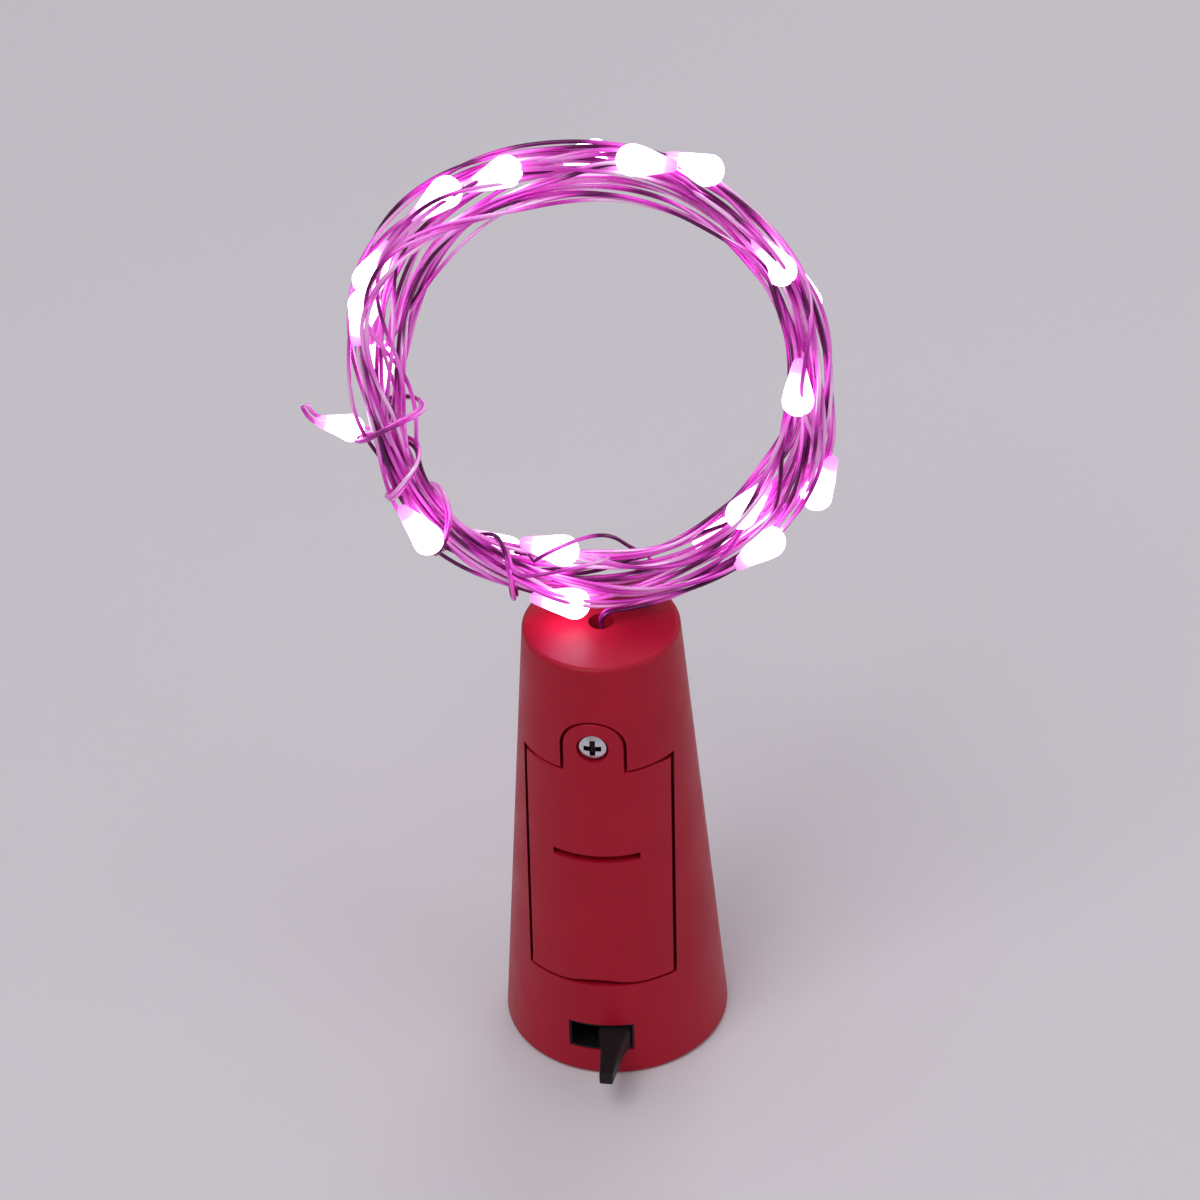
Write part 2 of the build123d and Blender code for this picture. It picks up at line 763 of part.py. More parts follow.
def wrap_knots():
    """Place and direction of the wire at each quarter turn round the bundle."""
    quarters = round((wrap_last_side - wrap_first_side) / 90)
    sides = np.radians(np.linspace(wrap_first_side, wrap_last_side, quarters + 1))
    angles = np.radians(np.linspace(wrap_first_angle, wrap_last_angle, quarters + 1))
    angle_rate = (angles[-1] - angles[0]) / (sides[-1] - sides[0])
    knots = []
    for side, angle in zip(sides, angles):
        outward, forward = ring_directions(angle)
        radius = bundle_radius + wrap_radius * cos(side)
        place = ring_centre + radius * outward + wrap_radius * sin(side) * ring_front
        turning = wrap_radius * (-sin(side) * outward + cos(side) * ring_front)
        knots.append((place, unit(turning + angle_rate * radius * forward)))
    return knots


def ring_place(degree, radius, front):
    """Point at an angle, a distance from the ring's centre and a distance in front of its middle."""
    outward, _ = ring_directions(radians(degree))
    return ring_centre + radius * outward + front * ring_front


def fold_knots(before, after):
    """Place and direction of the wire round the fold, between its neighbours."""
    places = [before, *(ring_place(*place) for place in fold_places), after]
    return [(place, unit(following - previous))
            for previous, place, following in zip(places, places[1:], places[2:])]


def tail_end():
    """Where the string's last straight run begins, and its direction."""
    last_place, last_direction = wrap_knots()[-1]
    outward, forward = ring_directions(radians(wrap_last_angle))
    shares = zip(tail_direction, (outward, forward, ring_front))
    direction = unit(sum(share * axis for share, axis in shares))
    return last_place + tail_reach / 2 * (last_direction + direction), direction


def tail_path():
    """From the end of the winding, round the bundle, to the string's loose end."""
    place, direction = coil_knots()[-1]
    joint = ring_centre + place + wire_diameter * direction
    leave = joint + wire_diameter * direction
    end, end_direction = tail_end()
    wraps = wrap_knots()
    folds = fold_knots(leave, wraps[0][0])
    runs = [straight(joint, leave)]
    runs.extend(biarc_run([(leave, direction), *folds, *wraps, (end, end_direction)]))
    runs.append(straight(end, end + tail_straight * end_direction))
    return Wire([run.edge() for run in runs])


def make_drop(plane):
    """Pear-shaped resin drop with a pocket for its chip."""
    spread = drop_length - drop_radius - drop_tip_radius
    slope = (drop_radius - drop_tip_radius) / spread
    side = sqrt(1 - slope ** 2)
    low = -drop_length / 2 + drop_radius
    high = low + spread
    wide = (drop_radius * side, low + drop_radius * slope)
    narrow = (drop_tip_radius * side, high + drop_tip_radius * slope)
    bottom = (0, low - drop_radius)
    top = (0, high + drop_tip_radius)
    outline = [TangentArc(bottom, wide, tangent=(1, 0)), Line(wide, narrow),
               TangentArc(top, narrow, tangent=(1, 0)), Line(top, bottom)]
    drop = revolve(Plane.XZ * make_face(outline), Axis.Z)
    beside_wire = (wire_diameter + chip_size[0]) / 2 + chip_clearance
    chip = Pos(beside_wire, 0, low) * Box(*chip_size)
    return plane * (drop - chip), plane * chip


def drop_planes():
    """Where each drop sits: on the bundle, and the last one on the loose end."""
    planes = []
    for degree, radius, front, way in drop_places:
        outward, forward = ring_directions(radians(degree))
        from_bundle = (radius - bundle_radius) * outward + front * ring_front
        centre = ring_centre + bundle_radius * outward + from_bundle
        planes.append(Plane(origin=tuple(centre), x_dir=tuple(from_bundle), z_dir=tuple(way * forward)))
    end, direction = tail_end()
    planes.append(Plane(origin=tuple(end), x_dir=tuple(ring_front), z_dir=tuple(direction)))
    return planes


def least_gap(path, spacing=0.4, reach=12.0):
    """Least clear distance between stretches of a tube that are far apart along it."""
    count = int(path.length / spacing)
    points = np.array([tuple(path @ (index / count)) for index in range(count + 1)])
    apart = int(reach / spacing)
    least = min(np.linalg.norm(points[index + apart:] - points[index], axis=1).min()
                for index in range(count - apart))
    return least - wire_diameter


def least_bend(path):
    """Smallest radius among a path's arcs."""
    return min(edge.radius for edge in path.edges() if edge.geom_type == GeomType.CIRCLE)


# Write each piece to its own file

def make_pieces():
    """All pieces by name."""
    pieces = {
        "cork_body": make_cork_body(),
        "end_cap": make_end_cap(),
        "battery_door": make_battery_door(),
        "door_screw": make_door_screw(),
        "screw_clip": make_screw_clip(),
        "battery_tray": make_battery_tray(),
        "contact_positive": make_contact_positive(),
        "contact_negative": make_contact_negative(),
        "switch_bezel": make_switch_bezel(),
        "switch_frame": make_switch_frame(),
        "switch_base": make_switch_base(),
        "switch_terminals": make_switch_terminals(),
        "switch_slider": make_switch_slider(),
        "switch_contact": make_switch_contact(),
        "resistor_body": make_resistor_body(),
        "resistor_leads": make_resistor_leads(),
        "lead_positive": make_lead_positive(),
        "lead_return": make_lead_return(),
        "lead_switch": make_lead_switch(),
        "wire_anchor": make_wire_anchor(),
    }
    for index in range(cell_count):
        names = ("cell_can", "cell_gasket", "cell_cap")
        for name, solid in zip(names, make_cell(index)):
            pieces[f"{name}_{index + 1}"] = solid

    section = pi * wire_diameter ** 2 / 4
    paths = {"wire_stem": stem_path(), "wire_coil": coil_path(), "wire_tail": tail_path()}
    for name, path in paths.items():
        pieces[name] = tube(path, wire_diameter / 2)
        share = pieces[name].volume / (section * path.length)
        bend = least_bend(path)
        print(f"{name}: length {path.length:.1f}, least bend {bend:.2f}, volume share {share:.4f}")
    for name in ("wire_coil", "wire_tail"):
        print(f"{name}: least gap to itself {least_gap(paths[name]):.2f}")

    chips = []
    for index, plane in enumerate(drop_planes()):
        drop, chip = make_drop(plane)
        pieces[f"led_{index + 1:02d}"] = drop
        chips.append(chip)
    pieces["led_chips"] = Compound(children=chips)
    return pieces


os.makedirs("parts", exist_ok=True)
for piece_name, piece in make_pieces().items():
    export_step(piece, f"parts/{piece_name}.step")
print(f"door pivot y {pivot_y:.3f} z {pivot_z:.3f}, screw tilt {degrees(screw_tilt):.3f}")
print(f"switch travel {slide_travel:.2f}")
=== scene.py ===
"""Looks of the cork bottle light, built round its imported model.

Metres, in the model's own frame: the big end stands on the floor, +Z is up and the door faces -Y.
"""
import random
from math import atan2, cos, hypot, pi, radians, sin, sqrt, tan

import bpy
import numpy as np
from mathutils import Matrix, Vector, noise


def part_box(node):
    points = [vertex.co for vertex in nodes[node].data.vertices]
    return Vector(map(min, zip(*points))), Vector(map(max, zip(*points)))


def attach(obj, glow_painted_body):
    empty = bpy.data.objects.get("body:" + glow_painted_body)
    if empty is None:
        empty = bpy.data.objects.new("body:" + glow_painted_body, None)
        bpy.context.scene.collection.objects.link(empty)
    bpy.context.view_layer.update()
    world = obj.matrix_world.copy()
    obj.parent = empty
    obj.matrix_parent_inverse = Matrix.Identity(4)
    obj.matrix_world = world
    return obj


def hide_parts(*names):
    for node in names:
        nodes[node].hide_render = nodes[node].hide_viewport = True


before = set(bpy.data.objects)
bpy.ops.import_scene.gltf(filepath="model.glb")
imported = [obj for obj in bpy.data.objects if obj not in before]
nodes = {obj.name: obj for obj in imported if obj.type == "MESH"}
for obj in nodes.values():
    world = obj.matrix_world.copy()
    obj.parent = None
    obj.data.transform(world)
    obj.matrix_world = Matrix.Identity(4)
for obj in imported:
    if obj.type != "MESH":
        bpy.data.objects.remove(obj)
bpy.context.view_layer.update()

cork_body_name = "cork"

# Camera, at the photograph's viewing angle
camera_place = (0.06642, -0.38837, 0.35838)
camera_right = (0.98845, 0.14655, -0.03901)
camera_back = (0.13284, -0.77674, 0.61566)
camera_lens = 159.64
camera_sensor = 36.0
camera_near = 0.01
camera_far = 20.0

# Stopper
cork_top = 0.048
bead_bottom = 0.0436
screw_level = 0.039
screw_tilt = radians(4.17)
screw_surface = 0.008156
screw_head_recess = 0.0001
screw_head_height = 0.0007

# Winding of the string
wire_diameter = 0.0008
stem_bend = 0.0024
stem_straight = 2 * wire_diameter
coil_facing = radians(9.7)
coil_lean = radians(15.0)
coil_outer_radius = 0.0225
coil_pitch = 0.0013
coil_layers = 4
half_turns_per_layer = 7
half_turns_in_last_layer = 6
coil_start_angle = radians(-82.5)
coil_rise = 0.0012
points_per_half_turn = 12

# Bundle's form: angle in degrees, shift of its middle outwards, and looseness as a share of even spacing
bundle_form = [
    (16, -0.0004, 0.80), (40, -0.0008, 0.82), (57, -0.0006, 0.85), (76, -0.0002, 0.98), (98, 0.0002, 1.05),
    (120, 0.0011, 1.25), (137, 0.0013, 1.35), (150, 0.0011, 1.40), (166, 0.0000, 1.44), (182, -0.0006, 1.18),
    (191, -0.0003, 0.88), (199, 0.0001, 0.64), (208, 0.0005, 0.54), (226, 0.0010, 0.56), (236, 0.0010, 0.60),
    (246, 0.0009, 0.58), (256, 0.0006, 0.82), (265, 0.0004, 1.00), (285, 0.0003, 1.02), (295, 0.0001, 0.95),
    (306, 0.0000, 1.05), (328, 0.0004, 1.20), (342, 0.0001, 1.05), (352, -0.0002, 0.90),
]

# Turning of the bundle's section to and fro round the ring: size, waves round the ring and phase
section_turning = [(0.55, 2, 0.6), (0.4, 3, 2.1)]

# Wander of the turns in the bundle: waves per turn, size, and share of it from tight to loose places
winding_seed = 11
outward_waves = (0.37, 0.83, 1.61, 2.9)
front_waves = (0.29, 0.71, 1.43, 2.6)
least_wave_share = 0.6
wander_size = 0.00046
wander_looseness = (0.55, 1.0)
wander_shares = (0.1, 1.0)

# Fold where the string turns back: angle in degrees, distance from the ring's centre and distance in front
fold_places = [
    (281.5, 0.0210, -0.0027), (280.5, 0.0200, -0.0030), (277.5, 0.0196, -0.0030), (274.5, 0.0188, -0.0024),
    (272.0, 0.0176, -0.0008), (269.0, 0.0168, 0.0010), (265.0, 0.0165, 0.0024), (259.5, 0.0168, 0.0034),
    (252.5, 0.0178, 0.0039), (247.0, 0.0193, 0.0034),
]

# Wraps round the bundle, given in the same way
wrap_places = [
    (245.0, 0.0190, 0.0016), (243.5, 0.0189, -0.0006), (244.5, 0.0200, -0.0022), (246.5, 0.0220, -0.0023),
    (248.0, 0.0236, -0.0006), (248.1, 0.0230, 0.0017), (245.5, 0.0214, 0.0029), (242.5, 0.0199, 0.0027),
    (239.8, 0.0189, 0.0012), (237.0, 0.0190, -0.0010), (233.5, 0.0206, -0.0024), (229.5, 0.0226, -0.0020),
    (226.8, 0.0234, 0.0000), (225.9, 0.0223, 0.0022), (223.9, 0.0205, 0.0029), (220.5, 0.0189, 0.0024),
    (216.0, 0.0185, 0.0008), (213.5, 0.0189, -0.0012), (211.5, 0.0206, -0.0023), (209.8, 0.0224, -0.0018),
    (208.8, 0.0232, 0.0002), (208.0, 0.0222, 0.0022), (205.8, 0.0206, 0.0027), (203.6, 0.0189, 0.0022),
    (201.5, 0.0181, 0.0006), (199.2, 0.0186, -0.0014), (196.8, 0.0204, -0.0024), (194.3, 0.0226, -0.0018),
    (193.0, 0.0234, 0.0002), (191.8, 0.0223, 0.0023), (189.6, 0.0206, 0.0031), (188.2, 0.0188, 0.0029),
    (188.0, 0.0172, 0.0017), (187.8, 0.0163, 0.0002), (186.6, 0.0168, -0.0014), (186.4, 0.0186, -0.0026),
    (188.0, 0.0208, -0.0028),
]

# Smooth curve along the string
spline_order = 3
spline_resolution = 7

# Pair of strands of the string, with waves per turn for their twist, their gap and their tone, which the
# wire's finish paints as random stretches of shade and highlight
strand_radius = 0.0002
strand_sides = 8
strand_seed = 5
pair_twist = 0.034
pair_least = 0.00021
pair_most = 0.00062
pair_joined_length = 0.03
twist_waves = (0.31, 0.77, 1.9)
twist_size = 1.4
gap_waves = (0.53, 1.37, 3.1)
gap_size = 1.0
tone_waves = (0.9, 2.3, 5.1, 11.7)
tone_size = 0.3
tone_middle = 0.5

# Resin drops
drop_radius = 0.0015
drop_tip_radius = 0.0006
drop_length = 0.0057
drop_count = 20
drop_sides = 24
drop_glow_reach = 0.75 * drop_length
tail_drop_size = 0.86

# Shares of a drop's round end, side and tip at which its outline has a row
round_end_shares = np.linspace(0.12, 1, 9)
side_shares = np.linspace(0.2, 0.8, 4)
tip_shares = np.linspace(0, 0.8, 5)

# Lumps that make each drop uneven in its own way
lump_share = 0.07
lumps_per_metre = 700
lump_start = np.array((0.0, 0.0, 5.1))
lump_step = np.array((3.7, 1.3, 0.0))

# Turns led through the drops, and the angle over which they bend from tight to loose places
rows_between_drops = 14
tied_window = radians(16)
loose_window = radians(34)
bend_looseness = (0.6, 1.1)

# Turns that lie across the front of a drop: the drop's number and how far outside its middle
crossings = [
    (1, 0.0007), (1, -0.0005), (5, 0.0004), (6, 0.0007), (7, 0.0003), (10, -0.0007), (12, 0.0006),
    (12, -0.0005), (14, 0.0007),
]
crossing_lift = 0.0004
rows_between_crossings = 5

# Loose end of the string, before and past the last drop
tail_before_drop = 0.7 * drop_length
tail_past_drop = 0.0033
tail_lift = 0.0013

# Surfaces of plastic and metal: sizes of the patches, grain and lines, and depths of the relief
noise_range = (0.3, 0.7)
colour_patch = 0.009
gloss_patch = 0.004
gloss_spread = 0.06
plastic_grain = 0.00025
plastic_grain_detail = 2.0
plastic_relief = 0.000012
metal_line = 0.0009
metal_line_detail = 4.0
metal_relief = 0.000004
metal_gloss_below = 0.05
metal_gloss_above = 0.08

# Floor and studio light
floor_half_width = 3.0
floor_patch = 0.4
floor_dark = (0.66, 0.63, 0.68)
floor_light = (0.68, 0.65, 0.70)
studio_colour = (1.0, 0.98, 1.0)
studio_strength = 0.42
lamp_target = (0, 0, 0.04)

# Lamps: name, place, width and power
lamps = [
    ("key", (-0.2, -0.35, 0.8), 0.45, 2.6),
    ("fill", (0.6, -0.25, 0.4), 0.5, 0.7),
    ("rim", (0.1, 0.6, 0.6), 0.4, 0.9),
]


# Ring's own directions and sizes, as in the model

ring_right = np.array((cos(coil_facing), sin(coil_facing), 0))
ring_up = np.array((-sin(coil_facing) * sin(coil_lean), cos(coil_facing) * sin(coil_lean), cos(coil_lean)))
ring_front = np.cross(ring_right, ring_up)
layer_front = coil_pitch * (coil_layers - 1) / 2
coil_half_turns = (half_turns_per_layer + 1) * (coil_layers - 1) + half_turns_in_last_layer
coil_inner_radius = coil_outer_radius - coil_pitch * half_turns_per_layer / 2
bundle_radius = (coil_outer_radius + coil_inner_radius) / 2
bundle_half_width = (coil_outer_radius - coil_inner_radius) / 2
half_step = pi / points_per_half_turn / 2


def unit(vector):
    """Vector of length one."""
    return np.asarray(vector, float) / np.linalg.norm(vector)


def ring_directions(angle):
    """Outward and forward directions at an angle round the ring."""
    outward = cos(angle) * ring_right + sin(angle) * ring_up
    forward = -sin(angle) * ring_right + cos(angle) * ring_up
    return outward, forward


def stem_turn(direction):
    """Run of the bend from straight up into a direction, and how far its corner lies from its ends."""
    sideways = np.array((direction[0], direction[1], 0))
    turn = atan2(np.linalg.norm(sideways), direction[2])
    run = stem_bend * (sin(turn) * np.array((0, 0, 1)) + (1 - cos(turn)) * unit(sideways))
    return run, stem_bend * tan(turn / 2)


# Ring's centre, from where the stem meets the first turn

first_outward, first_forward = ring_directions(coil_start_angle)
first_place = coil_outer_radius * first_outward + layer_front * ring_front
first_direction = unit(coil_outer_radius * first_forward - coil_pitch / (2 * pi) * first_outward)
stem_run, stem_corner = stem_turn(first_direction)
stem_end = stem_run + stem_straight * first_direction
ring_level = (cork_top + coil_rise + wire_diameter / 2 + coil_outer_radius * cos(coil_lean)
              - layer_front * sin(coil_lean))
ring_centre = np.array((stem_end[0] - first_place[0], stem_end[1] - first_place[1], ring_level))


def ring_place(angle, radius, front):
    """Point at an angle, a distance from the ring's centre and a distance in front of its middle."""
    outward, _ = ring_directions(angle)
    return ring_centre + radius * outward + front * ring_front


def ring_coordinates(place):
    """Angle, distance from the ring's centre and distance in front of its middle."""
    away = np.asarray(place, float) - ring_centre
    across, height = away @ ring_right, away @ ring_up
    return atan2(height, across), hypot(across, height), away @ ring_front


# Objects and meshes

def add_object(name, data):
    """A new object in the scene."""
    thing = bpy.data.objects.new(name, data)
    bpy.context.scene.collection.objects.link(thing)
    return thing


def tube_faces(rings, sides, first):
    """Faces between the rings of vertices of a tube, from the number of its first vertex."""
    faces = []
    for ring in range(rings - 1):
        low = first + ring * sides
        for step in range(sides):
            after = (step + 1) % sides
            faces.append((low + step, low + after, low + sides + after, low + sides + step))
    return faces


def make_skin(name, vertices, faces, attribute, values, material):
    """Mesh with a value at each vertex, smooth apart from ends with more than four corners."""
    mesh = bpy.data.meshes.new(name)
    mesh.from_pydata(vertices, [], faces)
    mesh.polygons.foreach_set("use_smooth", [len(face) <= 4 for face in faces])
    mesh.attributes.new(attribute, "FLOAT", "POINT").data.foreach_set("value", values)
    mesh.materials.append(material)
    return mesh


# Camera

def make_camera():
    """Camera with the photograph's place, direction and angle of view."""
    right = Vector(camera_right).normalized()
    back = Vector(camera_back).normalized()
    up = back.cross(right).normalized()
    right = up.cross(back)
    data = bpy.data.cameras.new("camera")
    data.lens = camera_lens
    data.sensor_width = camera_sensor
    data.clip_start = camera_near
    data.clip_end = camera_far
    camera = add_object("camera", data)
    turn = Matrix((right, up, back)).transposed()
    camera.matrix_world = Matrix.Translation(camera_place) @ turn.to_4x4()
    bpy.context.scene.camera = camera


# Drops' places, read from the model

def drop_frame(node):
    """Middle of a drop and the direction from its round end to its tip."""
    mesh = nodes[node].data
    areas = np.array([face.area for face in mesh.polygons])
    centres = np.array([face.center for face in mesh.polygons])
    low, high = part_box(node)
    middle = np.array((low + high) / 2)
    away = centres - middle
    spread = (away * areas[:, None]).T @ away
    axis = np.linalg.eigh(spread)[1][:, -1]
    along = away @ axis
    wide = np.linalg.norm(away - np.outer(along, axis), axis=1)
    if (wide * along * areas).sum() > 0:
        axis = -axis
    return middle, axis


drop_frames = [drop_frame(f"led_{index + 1:02d}") for index in range(drop_count)]


# Route of the string

def make_wander(draw, rates, size):
    """Smooth noise along the string, from a few seeded waves per turn."""
    waves = [(rate, draw.uniform(0, 2 * pi), draw.uniform(least_wave_share, 1.0)) for rate in rates]
    total = sqrt(sum(share ** 2 for _, _, share in waves))

    def value(turns):
        return size * sum(share * sin(2 * pi * rate * turns + phase) for rate, phase, share in waves) / total

    return value


def even_lay(half_turns):
    """Distance from the bundle's middle, outwards and to the front, of the evenly laid winding."""
    radius = coil_outer_radius
    inward = -1
    start = 0
    for layer in range(coil_layers):
        steps = half_turns_in_last_layer if layer == coil_layers - 1 else half_turns_per_layer
        front = layer_front - layer * coil_pitch
        if half_turns <= start + steps:
            return radius + inward * coil_pitch / 2 * (half_turns - start) - bundle_radius, front
        radius += inward * coil_pitch / 2 * steps
        if half_turns < start + steps + 1:
            climb = half_turns - start - steps
            return radius - bundle_radius, front - coil_pitch * climb * climb * (3 - 2 * climb)
        start += steps + 1
        inward = -inward
    return radius - bundle_radius, front


def bundle_at(angle):
    """Shift of the bundle's middle and looseness of its turns at an angle round the ring."""
    known, shifts, spreads = zip(*bundle_form)
    degree = np.degrees(angle)
    shift = np.interp(degree, known, shifts, period=360)
    return shift, np.interp(degree, known, spreads, period=360)


def coil_lay():
    """Angle, and distance outwards and to the front, of each point of the loose winding.

    The first and the last quarter turn ease into the even winding.
    """
    draw = random.Random(winding_seed)
    outward_wander = make_wander(draw, outward_waves, wander_size)
    front_wander = make_wander(draw, front_waves, wander_size)
    rows = []
    for step in range(coil_half_turns * points_per_half_turn + 1):
        half_turns = step / points_per_half_turn
        angle = coil_start_angle + pi * half_turns
        outwards, front = even_lay(half_turns)
        twist = sum(size * sin(waves * angle + phase) for size, waves, phase in section_turning)
        shift, spread = bundle_at(angle)
        turned_out = shift + spread * (cos(twist) * outwards - sin(twist) * front)
        turned_front = spread * (sin(twist) * outwards + cos(twist) * front)
        ease = min(1.0, 2 * half_turns, 2 * (coil_half_turns - half_turns))
        loose = np.interp(spread, wander_looseness, wander_shares)
        rows.append([angle,
                     outwards + ease * (turned_out - outwards + loose * outward_wander(half_turns / 2)),
                     front + ease * (turned_front - front + loose * front_wander(half_turns / 2))])
    return rows


def bend_window(angle):
    """Angle over which a turn can bend out of the bundle, wider where the bundle is loose."""
    _, spread = bundle_at(angle)
    return np.interp(spread, bend_looseness, (tied_window, loose_window))


def angle_between(first, second):
    """Signed angle from the second to the first, at most half a turn."""
    return (first - second + pi) % (2 * pi) - pi


def nearest_turn(rows, angle, goal, avoided, spacing):
    """Row at an angle that lies nearest to a place, a number of rows from those in use if there is room."""
    free = [index for index in range(points_per_half_turn, len(rows) - points_per_half_turn)
            if abs(angle_between(rows[index][0], angle)) <= half_step
            and all(abs(index - other) >= spacing for other in avoided)]
    if not free:
        return nearest_turn(rows, angle, goal, avoided, spacing - 1)
    return min(free, key=lambda index: np.linalg.norm(goal - rows[index][1:]))


def bend_turn(rows, held, chosen, angle, goal):
    """Bends one turn out of the bundle, so that it passes through a place, and notes how firmly."""
    shift = goal - rows[chosen][1:]
    window_before = bend_window(angle - tied_window)
    window_after = bend_window(angle + tied_window)
    last = min(len(rows), chosen + points_per_half_turn)
    for index in range(max(0, chosen - points_per_half_turn), last):
        off = angle_between(rows[index][0], angle)
        window = window_before if off < 0 else window_after
        if abs(off) < window:
            share = cos(off / window * pi / 2) ** 2
            rows[index][1] += share * shift[0]
            rows[index][2] += share * shift[1]
            held[index] = max(held[index], share)


def draw_in(rows, held):
    """Draws turns that lie outside the bundle's form back into it, away from what holds them."""
    for row, share in zip(rows, held):
        shift, spread = bundle_at(row[0])
        outside = row[1] - shift
        excess = max(0.0, abs(outside) - spread * bundle_half_width)
        row[1] -= (1 - share) * np.sign(outside) * excess


def lead_past_drops(rows):
    """Leads a turn through each drop, and a few turns across the front of some drops."""
    taken = []
    held = [0.0] * len(rows)
    over_drop = drop_radius + crossing_lift
    through = [(number, 0.0, 0.0, rows_between_drops) for number in range(1, drop_count)]
    across = [(number, aside, over_drop, rows_between_crossings) for number, aside in crossings]
    for number, aside, lift, spacing in through + across:
        middle, _ = drop_frames[number - 1]
        angle, radius, front = ring_coordinates(middle)
        goal = np.array((radius - bundle_radius + aside, front + lift))
        chosen = nearest_turn(rows, angle, goal, taken, spacing)
        taken.append(chosen)
        bend_turn(rows, held, chosen, angle, goal)
    draw_in(rows, held)
    return rows


def coil_points():
    """Control points of the winding, set out so that the smooth curve keeps its radius."""
    swell = 1 / cos(half_step)
    rows = lead_past_drops(coil_lay())
    return [ring_place(angle, (bundle_radius + outwards) * swell, front) for angle, outwards, front in rows]


def string_points():
    """Control points of the whole string, from the bead of glue to its loose end."""
    joint = ring_centre + first_place - stem_straight * first_direction
    corner = joint - stem_corner * first_direction
    stem = [np.array((0, 0, bead_bottom)), np.array((0, 0, (bead_bottom + corner[2]) / 2)), corner]
    loose = [ring_place(radians(degree), radius, front)
             for degree, radius, front in fold_places + wrap_places]
    middle, axis = drop_frames[-1]
    tail = [middle - tail_before_drop * axis, middle, middle + drop_length / 2 * axis,
            middle + tail_past_drop * axis + tail_lift * ring_up]
    return [*stem, *coil_points(), *loose, *tail]


def smooth_route(points):
    """Closely spaced points along the smooth curve that has these control points."""
    curve = bpy.data.curves.new("string_route", "CURVE")
    curve.dimensions = "3D"
    curve.resolution_u = spline_resolution
    spline = curve.splines.new("NURBS")
    spline.points.add(len(points) - 1)
    for knot, point in zip(spline.points, points):
        knot.co = (*point, 1)
    spline.order_u = spline_order
    spline.use_endpoint_u = True
    guide = add_object("string_route", curve)
    bpy.context.view_layer.update()
    mesh = bpy.data.meshes.new_from_object(guide)
    line = np.array([vertex.co for vertex in mesh.vertices])
    bpy.data.meshes.remove(mesh)
    bpy.data.objects.remove(guide)
    bpy.data.curves.remove(curve)
    return line


def route_frames(line):
    """Two crosswise directions at each point, carried along without twist."""
    ways = np.gradient(line, axis=0)
    ways /= np.linalg.norm(ways, axis=1)[:, None]
    side = unit(np.cross(ways[0], (0, 1, 0)))
    sides = []
    for way in ways:
        side = unit(side - (side @ way) * way)
        sides.append(side)
    sides = np.array(sides)
    return sides, np.cross(ways, sides)


# Strands of the string

def pair_lay(lengths, turns, draw):
    """Twist of the pair and distance of each strand from its middle, along the string."""
    twist_wander = make_wander(draw, twist_waves, twist_size)
    gap_wander = make_wander(draw, gap_waves, gap_size)
    twists = [2 * pi * length / pair_twist + twist_wander(turn) for length, turn in zip(lengths, turns)]
    parted = np.clip(lengths / pair_joined_length - 1, 0, 1)
    gaps = [pair_least + share * (pair_most - pair_least) * max(0.0, gap_wander(turn)) ** 2
            for share, turn in zip(parted, turns)]
    return twists, gaps


def strand_ring(centre, side, up):
    """Vertices round a strand at one point of its length."""
    turns = [2 * pi * step / strand_sides for step in range(strand_sides)]
    return [tuple(centre + strand_radius * (cos(turn) * side + sin(turn) * up)) for turn in turns]


def strand_faces(rings, first):
    """Faces of one strand with closed ends, from the number of its first vertex."""
    last = first + (rings - 1) * strand_sides
    start_cap = tuple(reversed(range(first, first + strand_sides)))
    end_cap = tuple(range(last, last + strand_sides))
    return [*tube_faces(rings, strand_sides, first), start_cap, end_cap]


def pair_skin(line):
    """Vertices, faces and tones of the two strands that follow a route as a pair."""
    draw = random.Random(strand_seed)
    lengths = np.concatenate(([0], np.cumsum(np.linalg.norm(np.diff(line, axis=0), axis=1))))
    turns = lengths / (2 * pi * bundle_radius)
    twists, gaps = pair_lay(lengths, turns, draw)
    sides, ups = route_frames(line)
    vertices = []
    faces = []
    shade_and_highlight_tones = []
    for hand in (1, -1):
        faces.extend(strand_faces(len(line), len(vertices)))
        tone_wander = make_wander(draw, tone_waves, tone_size)
        for place, side, up, twist, gap, turn in zip(line, sides, ups, twists, gaps, turns):
            centre = place + hand * gap * (cos(twist) * side + sin(twist) * up)
            vertices.extend(strand_ring(centre, side, up))
            shade_and_highlight_tones.extend([tone_middle + tone_wander(turn)] * strand_sides)
    return vertices, faces, shade_and_highlight_tones


def make_string(line, material):
    """The pair of enamelled wires along a route, as one mesh of two strands."""
    vertices, faces, shade_and_highlight_tones = pair_skin(line)
    mesh = make_skin("light_string", vertices, faces, "tone", shade_and_highlight_tones, material)
    string = add_object("light_string", mesh)
    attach(string, cork_body_name)
    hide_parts("wire_stem", "wire_coil", "wire_tail")
    return string


# Resin drops

def drop_outline():
    """Radius and height of each row of the pear-shaped outline, from the round end to the tip."""
    spread = drop_length - drop_radius - drop_tip_radius
    slope = (drop_radius - drop_tip_radius) / spread
    low = -drop_length / 2 + drop_radius
    high = low + spread
    lean = atan2(slope, sqrt(1 - slope ** 2))
    outline = []
    for share in round_end_shares:
        turn = -pi / 2 + share * (pi / 2 + lean)
        outline.append((drop_radius * cos(turn), low + drop_radius * sin(turn)))
    for share in side_shares:
        reach = share * spread
        outline.append((drop_radius * cos(lean) - slope * reach, low + drop_radius * sin(lean) + reach))
    for share in tip_shares:
        turn = lean + share * (pi / 2 - lean)
        outline.append((drop_tip_radius * cos(turn), high + drop_tip_radius * sin(turn)))
    return outline


